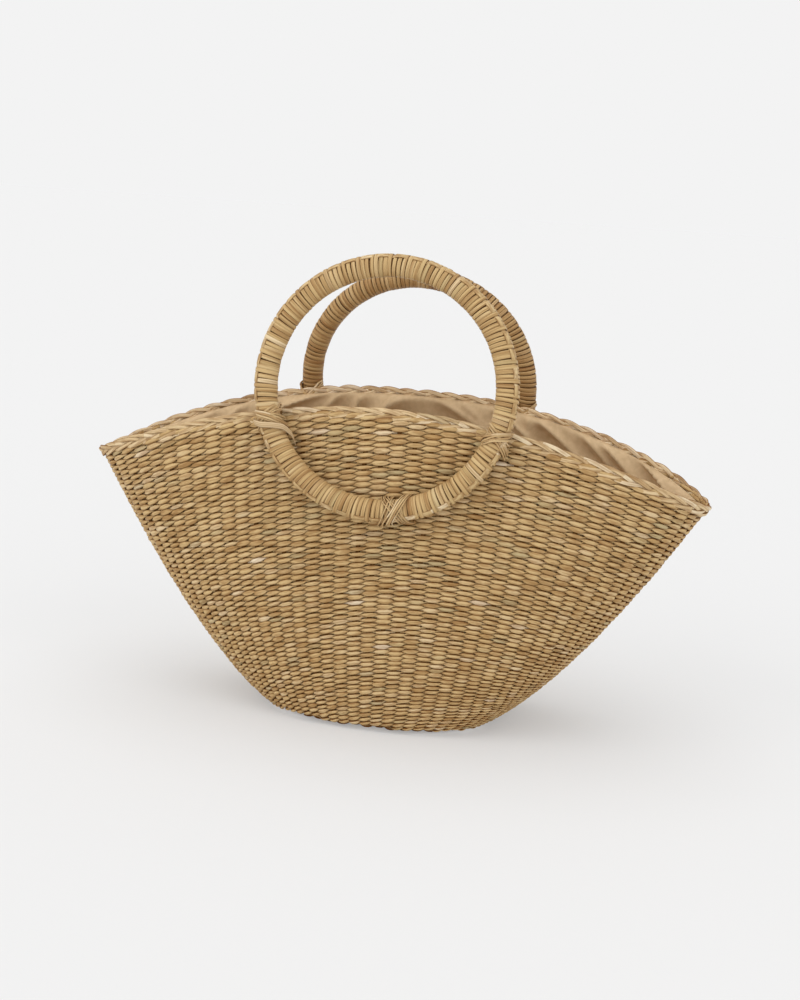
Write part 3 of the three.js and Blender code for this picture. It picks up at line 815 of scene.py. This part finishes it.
def smooth_route(knots):
    """A soft bend through given points."""
    spots = np.linspace(0, len(knots) - 1, (len(knots) - 1) * LASH_STEPS + 1)
    route = np.stack([np.interp(spots, np.arange(len(knots)), column) for column in knots.T], -1)
    weights = np.hanning(LASH_STEPS + 2)[1:-1]
    route = np.pad(route, ((LASH_STEPS // 2, (LASH_STEPS - 1) // 2), (0, 0)), mode="edge")
    return np.stack([np.convolve(column, weights / weights.sum(), mode="valid") for column in route.T], -1)


def blades(ring, at, bundles, number):
    """Bundles of blades, each given by its points, how many blades it has, how far apart they lie at
    its two ends, and their half width. A point is out along the ring's radius, up along the ring and away
    from the bag, in millimetres from the middle of the ring's cane."""
    radial, forward = ring_directions(ring, at)
    if at < 0:
        forward = -forward
    origin = ring["centre"] + ring["radius"] * radial
    strands = []
    for points, count, fan, half_width in bundles:
        for blade in range(count):
            knots = np.array(points, float)
            knots[:, 1] += (blade - (count - 1) / 2) * np.linspace(*fan, len(knots))
            knots += rng.normal(0, BLADE_JITTER, knots.shape) * BLADE_JITTER_SHARES
            route = smooth_route(knots * MM)
            away = unit(route * np.array([1, 0, 1]) + np.array([0, 0, BLADE_FACING]))
            strands.append({
                "path": origin + route[:, :1] * radial + route[:, 1:2] * forward
                + route[:, 2:] * ring["outward"],
                "out": away[:, :1] * radial + away[:, 2:] * ring["outward"],
                "width": half_width * MM * rng.uniform(*BLADE_WIDTH_RANGE),
                "thickness": BLADE_HALF_THICKNESS,
                "along": np.linspace(0, len(knots), len(route)),
                "number": number + len(strands),
            })
    return strands


RIM_BUNDLES = [
    ([(9.6, -9, -13), (9.4, -8, -4), (8, -5, 4), (2, 0, 9), (-6, 4, 6.6), (-8.6, 5.6, -2),
      (-7.8, 5.6, -9), (-4, 2, -14.5), (6, -6, -14.5)], 4, (1.6, 1.7), 0.8),
    ([(-9.6, -10, -13), (-9.2, -8, -4), (-7.5, -5, 6), (-1, 0, 10), (7, 4, 6.6), (8.6, 5.6, -2),
      (7.8, 5.6, -9), (4, 2, -15), (-6, -6, -14.5)], 4, (2.0, 1.5), 0.8),
    ([(9.4, -3, -10), (9, -2.5, -3), (6.5, -1, 6), (0, 1, 9.6), (-6.5, 0, 6.6), (-9, -2, -3),
      (-9, -3, -10)], 2, (2.2, 1.6), 0.8),
]
tie_finish = straw_finish(
    "cane blades", base=(0.64, 0.46, 0.235), dark=(0.37, 0.20, 0.075), pale=(0.80, 0.65, 0.43),
    green=(0.57, 0.44, 0.235), along=0.3, pale_share=0.6, roughness=0.45, bump=0.9, edge=0.8, fibres=4,
)
loose_finish = straw_finish(
    "frayed blade", base=(0.72, 0.56, 0.34), dark=(0.72, 0.56, 0.34), pale=(0.80, 0.66, 0.44),
    green=(0.72, 0.56, 0.34), along=0, pale_share=0.9, roughness=0.6, bump=1.0, edge=0.5, fibres=9,
)
LOOSE_END = (
    [(12, 1, -8), (10.5, -1, 3), (4, -4.5, 10.6), (-4, -6, 11), (-10, -9, 6), (-13, -15, -2),
     (-12.5, -23, -6.5)], 1, (1, 1), 1.9,
)
FRONT_FOOT_TURN = math.radians(11)
FOOT_BUNDLES = [
    ([(9, 6, -13), (9.5, 6, -4), (8, 4, 6), (0, 0, 9.6), (-7, -5, 7), (-10, -8, -2),
      (-11, -9, -13)], 4, (2.2, 1.5), 0.65),
    ([(9, -8, -13), (9.5, -8, -4), (8, -6, 6.5), (0, 1, 10.6), (-7, 6, 7.5), (-10, 8, -2),
      (-11, 9, -13)], 4, (2.4, 1.5), 0.65),
    ([(9, -14, -13), (9.5, -14, -4), (8, -11, 7), (0, -6, 9.8), (-7, -3, 7.5), (-9.5, -3, -2),
      (-10, -3, -13)], 2, (3.0, 1.4), 0.65),
]
for side, half in HALVES.items():
    ring = half["ring"]
    cross = rim_crossing(ring, half["facing"])
    foot = FRONT_FOOT_TURN if side == "front" else 0
    places = {"left": half["facing"] * cross, "right": -half["facing"] * cross, "foot": foot}
    for number, (place, at) in enumerate(places.items()):
        bundles = FOOT_BUNDLES if place == "foot" else RIM_BUNDLES
        strands = blades(ring, at, bundles, TIE_NUMBER + TIE_NUMBER_STEP * number)
        ties = lay_strands(f"{side}_{place}_ties", strands, STRIP_SIDES, tie_finish)
        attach(ties, half["body"])
        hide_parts(f"{side}_{place}_lashing")
front = HALVES["front"]
loose_at = -rim_crossing(front["ring"], front["facing"])
strands = blades(front["ring"], loose_at, [LOOSE_END], LOOSE_NUMBER)
loose_end = lay_strands("front_loose_end", strands, STRIP_SIDES, loose_finish)
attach(loose_end, front["body"])

# The lining: thin beige cotton cloth sewn in under the rim, loose inside the wall so that it falls in folds
# that slant towards the corners, with an oval floor laid on the base mat.
CLOTH_INSET = 6.2 * MM
CLOTH_TOP_INSET = 4.6 * MM
CLOTH_TOP_DROP = -2.5 * MM
CLOTH_COLUMNS = 320
CLOTH_ROWS = 64
CLOTH_EASE = 1.6
CLOTH_FOOT_SHARE = 0.015
CLOTH_HANG = 2.5 * MM
CLOTH_THICKNESS = 0.7 * MM
CLOTH_DARK = (0.52, 0.365, 0.204, 1)
CLOTH_PALE = (0.62, 0.446, 0.262, 1)
SLUB_SCALE = 220
THREAD_SCALE = 900
THREAD_RELIEF = 0.15 * MM
CREASES = 23
CREASE_SLANT = (130, 70)
CREASE_HALF_WIDTH = (0.3, 0.8)
CREASE_DEPTH = (4 * MM, 11 * MM)
CREASE_LENGTH = (25 * MM, 80 * MM)
CREASE_SHARPNESS = 1.3
CORNER_TIGHTNESS = 8
SAG = 1.5 * MM
SAG_TURN = 0.9


def cloth_finish():
    """Plain cotton: slubs in its colour and fine threads in relief."""
    material, nodes, link, shader = new_material("cotton lining")
    spot = nodes.new("ShaderNodeTexCoord")
    slub = nodes.new("ShaderNodeTexNoise")
    slub.inputs["Scale"].default_value = SLUB_SCALE
    slub.inputs["Detail"].default_value = 3
    link(spot.outputs["Object"], slub.inputs["Vector"])
    shade = nodes.new("ShaderNodeValToRGB")
    for stop, position, colour in zip(shade.color_ramp.elements, (0.3, 0.7), (CLOTH_DARK, CLOTH_PALE)):
        stop.position = position
        stop.color = colour
    link(slub.outputs["Fac"], shade.inputs["Fac"])
    link(shade.outputs["Color"], shader.inputs["Base Color"])
    threads = nodes.new("ShaderNodeTexWave")
    threads.inputs["Scale"].default_value = THREAD_SCALE
    threads.inputs["Distortion"].default_value = 1.5
    threads.bands_direction = "Z"
    link(spot.outputs["Object"], threads.inputs["Vector"])
    relief = nodes.new("ShaderNodeBump")
    relief.inputs["Strength"].default_value = 0.25
    relief.inputs["Distance"].default_value = THREAD_RELIEF
    link(threads.outputs["Fac"], relief.inputs["Height"])
    link(relief.outputs["Normal"], shader.inputs["Normal"])
    shader.inputs["Roughness"].default_value = 0.7
    shader.inputs["Specular IOR Level"].default_value = 0.2
    shader.inputs["Sheen Weight"].default_value = 0.2
    shader.inputs["Sheen Tint"].default_value = CLOTH_PALE
    return material


lining_finish = cloth_finish()


def cloth_piece(name, columns, rows, shape, *given):
    """A cloth from a flat grid, each point of which is moved to where shape(u, v, ...) puts it."""
    cloth = bmesh.new()
    bmesh.ops.create_grid(cloth, x_segments=columns, y_segments=rows, size=0.5)
    flat = np.array([vertex.co for vertex in cloth.verts]) + 0.5
    for vertex, place in zip(cloth.verts, shape(flat[:, 0], flat[:, 1], *given)):
        vertex.co = place
    mesh = bpy.data.meshes.new(name)
    cloth.to_mesh(mesh)
    cloth.free()
    mesh.polygons.foreach_set("use_smooth", np.ones(len(mesh.polygons), bool))
    mesh.materials.append(lining_finish)
    obj = bpy.data.objects.new(name, mesh)
    bpy.context.scene.collection.objects.link(obj)
    body = obj.modifiers.new("cloth", "SOLIDIFY")
    body.thickness = CLOTH_THICKNESS
    body.offset = 0
    return obj


def lining_creases(first, last):
    """Where the loose cloth is creased: each crease starts at a stake, slants towards the nearer corner as it
    runs down, and fades."""
    spots = first + (last - first) * (np.arange(CREASES) + rng.uniform(0, 1, CREASES)) / CREASES
    return [{
        "stake": spot,
        "slant": rng.normal(*CREASE_SLANT) * np.sign(spot - (first + last) / 2),
        "half_width": rng.uniform(*CREASE_HALF_WIDTH),
        "depth": rng.uniform(*CREASE_DEPTH),
        "length": rng.uniform(*CREASE_LENGTH),
    } for spot in spots]


def crease_depth(creases, stake, below):
    """How far the cloth stands in from the wall at a depth below the rim."""
    depth = SAG * (1 + np.sin(SAG_TURN * stake))
    for crease in creases:
        aside = np.abs(stake - crease["stake"] - crease["slant"] * below) / crease["half_width"]
        fade = max(0, 1 - below / crease["length"])
        depth = depth + crease["depth"] * np.exp(-aside ** CREASE_SHARPNESS) * fade
    return depth


def lining_shape(u, v, first, last, creases):
    """The cloth hung inside the wall between two stakes, with its rows closer together near the rim."""
    stake = first + (last - first) * u
    v = 1 - (1 - v) ** CLOTH_EASE
    top_share = 1 - (BRAID_HEIGHT + CLOTH_TOP_DROP) / WALL_HEIGHT
    share = CLOTH_FOOT_SHARE + (top_share - CLOTH_FOOT_SHARE) * v
    points = np.empty((len(u), 3))
    for level in np.unique(v):
        row = v == level
        angle = stake_angle(stake[row], share[row][0])
        below = (1 - level) * WALL_HEIGHT
        hang = 1 - math.exp(-below / CLOTH_HANG)
        loose = crease_depth(creases, stake[row], below) * (1 - oval_place(angle)[0][0] ** CORNER_TIGHTNESS)
        inset = CLOTH_TOP_INSET + (CLOTH_INSET + loose - CLOTH_TOP_INSET) * hang
        points[row] = wall_point(angle, share[row], inset)
    return points


for side, half in HALVES.items():
    ends = half["stakes"]
    creases = lining_creases(*ends)
    lining = cloth_piece(f"{side}_lining_cloth", CLOTH_COLUMNS, CLOTH_ROWS, lining_shape, *ends, creases)
    bend_with(lining)
    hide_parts(f"{side}_lining", *(["corner_lining"] if side == "front" else []))

FLOOR_CLOTH_COLUMNS = 72
FLOOR_CLOTH_ROWS = 12
FLOOR_CLOTH_EYE = 0.02
FLOOR_CLOTH_LIFT = 0.9 * MM
FLOOR_CLOTH_RIPPLE = 0.3 * MM
FLOOR_CLOTH_RIPPLES = 5


def floor_shape(u, v):
    """An oval cloth on the base mat, its edge rippled a little."""
    turn = 2 * np.pi * u
    reach = FLOOR_CLOTH_EYE + (1 - FLOOR_CLOTH_EYE) * v
    return np.stack([
        (BASE_HALF_LENGTH - WALL_THICKNESS) * reach * np.cos(turn),
        (BASE_HALF_DEPTH - WALL_THICKNESS) * reach * np.sin(turn),
        BASE_TOP + FLOOR_CLOTH_LIFT + FLOOR_CLOTH_RIPPLE * np.sin(FLOOR_CLOTH_RIPPLES * turn) * reach,
    ], axis=-1)


lining_floor = cloth_piece("lining_floor", FLOOR_CLOTH_COLUMNS, FLOOR_CLOTH_ROWS, floor_shape)
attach(lining_floor, "basket")
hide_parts("floor_lining")

# The stage: a plain pale floor in an even white room, under three broad soft lights: one overhead, one from
# the front left and a weaker one from the front right.
FLOOR_HALF_SIZE = 30.0
FLOOR_TONE = 0.797
ROOM_LIGHT = 0.70
LAMPS = {
    "overhead": {"from": (-0.1, 0.05, 1.0), "share": 0.26, "spread": 60},
    "left": {"from": (-0.8, -0.7, 0.45), "share": 0.26, "spread": 60},
    "right": {"from": (0.8, -0.7, 0.45), "share": 0.16, "spread": 60},
}
BACKGROUND_TONE = 0.896
FLOOR_GLOW = 0.33
floor_material, nodes, link, shader = new_material("pale floor")
shader.inputs["Base Color"].default_value = (FLOOR_TONE, FLOOR_TONE, FLOOR_TONE, 1)
shader.inputs["Roughness"].default_value = 0.9
shader.inputs["Specular IOR Level"].default_value = 0
glow = nodes.new("ShaderNodeEmission")
glow.inputs["Color"].default_value = (BACKGROUND_TONE, BACKGROUND_TONE, BACKGROUND_TONE, 1)
to_camera = nodes.new("ShaderNodeLightPath")
amount = nodes.new("ShaderNodeMath")
amount.operation = "MULTIPLY"
amount.inputs[1].default_value = FLOOR_GLOW
lit_floor = nodes.new("ShaderNodeMixShader")
link(to_camera.outputs["Is Camera Ray"], amount.inputs[0])
link(amount.outputs[0], lit_floor.inputs["Fac"])
link(shader.outputs[0], lit_floor.inputs[1])
link(glow.outputs[0], lit_floor.inputs[2])
link(lit_floor.outputs[0], nodes["Material Output"].inputs["Surface"])
floor_sheet = bmesh.new()
bmesh.ops.create_grid(floor_sheet, x_segments=1, y_segments=1, size=FLOOR_HALF_SIZE)
floor_mesh = bpy.data.meshes.new("floor")
floor_sheet.to_mesh(floor_mesh)
floor_sheet.free()
floor_mesh.materials.append(floor_material)
floor = bpy.data.objects.new("floor", floor_mesh)
bpy.context.scene.collection.objects.link(floor)

world = bpy.data.worlds.new("studio")
bpy.context.scene.world = world
world.use_nodes = True
world_nodes, link = world.node_tree.nodes, world.node_tree.links.new
room = world_nodes["Background"]
room.inputs["Color"].default_value = (1, 1, 1, 1)
room.inputs["Strength"].default_value = ROOM_LIGHT
seen = world_nodes.new("ShaderNodeBackground")
seen.inputs["Color"].default_value = (BACKGROUND_TONE, BACKGROUND_TONE, BACKGROUND_TONE, 1)
rays = world_nodes.new("ShaderNodeLightPath")
choose = world_nodes.new("ShaderNodeMixShader")
link(rays.outputs["Is Camera Ray"], choose.inputs["Fac"])
link(room.outputs[0], choose.inputs[1])
link(seen.outputs[0], choose.inputs[2])
link(choose.outputs[0], world_nodes["World Output"].inputs["Surface"])

for name, lamp in LAMPS.items():
    light = bpy.data.lights.new(name, "SUN")
    light.angle = math.radians(lamp["spread"])
    light.energy = lamp["share"] * math.pi
    holder = bpy.data.objects.new(name, light)
    holder.rotation_euler = (-Vector(lamp["from"])).to_track_quat("-Z", "Y").to_euler()
    bpy.context.scene.collection.objects.link(holder)

# The camera: where the photographer stood, a little right of the middle and above the rim, with the camera
# turned slightly aslant.
CAMERA_AIM = Vector((3.8, 0, 158.8)) * MM
CAMERA_YAW = math.radians(9.81)
CAMERA_RISE = math.radians(11.84)
CAMERA_ROLL = math.radians(3.8)
CAMERA_DISTANCE = 1.0879
CAMERA_LENS = 52.6
CAMERA_SENSOR = 36
back = Vector((
    math.sin(CAMERA_YAW) * math.cos(CAMERA_RISE),
    -math.cos(CAMERA_YAW) * math.cos(CAMERA_RISE),
    math.sin(CAMERA_RISE),
))
right = Vector((math.cos(CAMERA_YAW), math.sin(CAMERA_YAW), 0))
up = back.cross(right)
rolled_right = right * math.cos(CAMERA_ROLL) + up * math.sin(CAMERA_ROLL)
rolled_up = up * math.cos(CAMERA_ROLL) - right * math.sin(CAMERA_ROLL)
lens = bpy.data.cameras.new("camera")
lens.sensor_fit = "VERTICAL"
lens.sensor_height = CAMERA_SENSOR
lens.lens = CAMERA_LENS
camera = bpy.data.objects.new("camera", lens)
pose = Matrix((rolled_right, rolled_up, back)).transposed().to_4x4()
pose.translation = CAMERA_AIM + back * CAMERA_DISTANCE
camera.matrix_world = pose
bpy.context.scene.collection.objects.link(camera)
bpy.context.scene.camera = camera
bpy.context.scene.view_settings.view_transform = "Standard"
